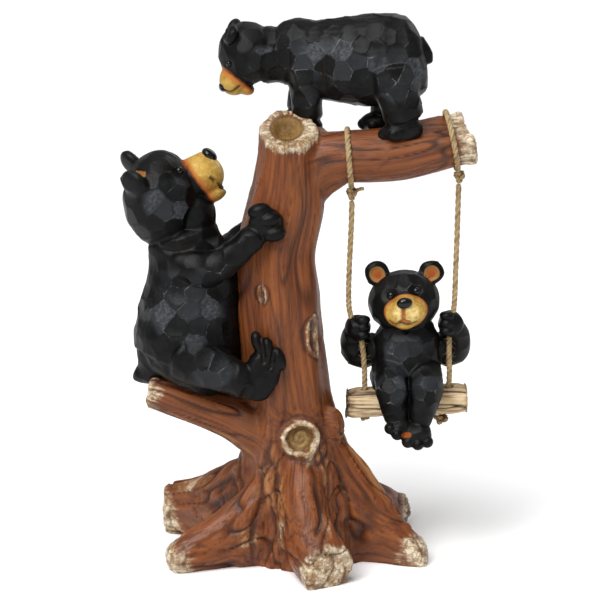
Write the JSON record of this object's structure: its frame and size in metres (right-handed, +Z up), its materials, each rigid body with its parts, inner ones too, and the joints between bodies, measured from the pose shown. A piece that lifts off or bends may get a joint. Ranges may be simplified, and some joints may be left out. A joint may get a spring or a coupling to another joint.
{
  "type": "resin bear garden statue",
  "caption": "Painted resin tree stump with a climbing bear, a standing bear on its branch, and a cub on a log swing hung from the branch on jute twine; a garden ornament.",
  "frame": {"origin": "on the flat underside, below the middle of the trunk", "axes": "+Z up, +X to the right as the statue is seen from its front, -Y towards the front"},
  "size_m": [0.2558, 0.1668, 0.3972],
  "materials": {
    "painted_casting": "carved resin, brown bark wash with cream dry brushing and charcoal bears",
    "painted_cub": "carved resin, charcoal fur with an ochre muzzle on a pale log seat",
    "jute": "twisted jute with loose fibres"
  },
  "bodies": {
    "tree": {"tree_with_bears": "painted_casting", "twine_loop_left": "jute", "twine_loop_right": "jute"},
    "swing": {"swing_cub": "painted_cub", "twine_knot_left": "jute", "twine_run_left": "jute", "twine_stop_left": "jute", "twine_knot_right": "jute", "twine_run_right": "jute", "twine_stop_right": "jute"}
  },
  "joints": [
    {"name": "swing_on_twines", "type": "hinge", "parent": "tree", "child": "swing", "pos_m": [0.07539, 0, 0.27614], "axis": [0.9877, 0, 0.1565], "range_deg": [-35, 35]}
  ]
}
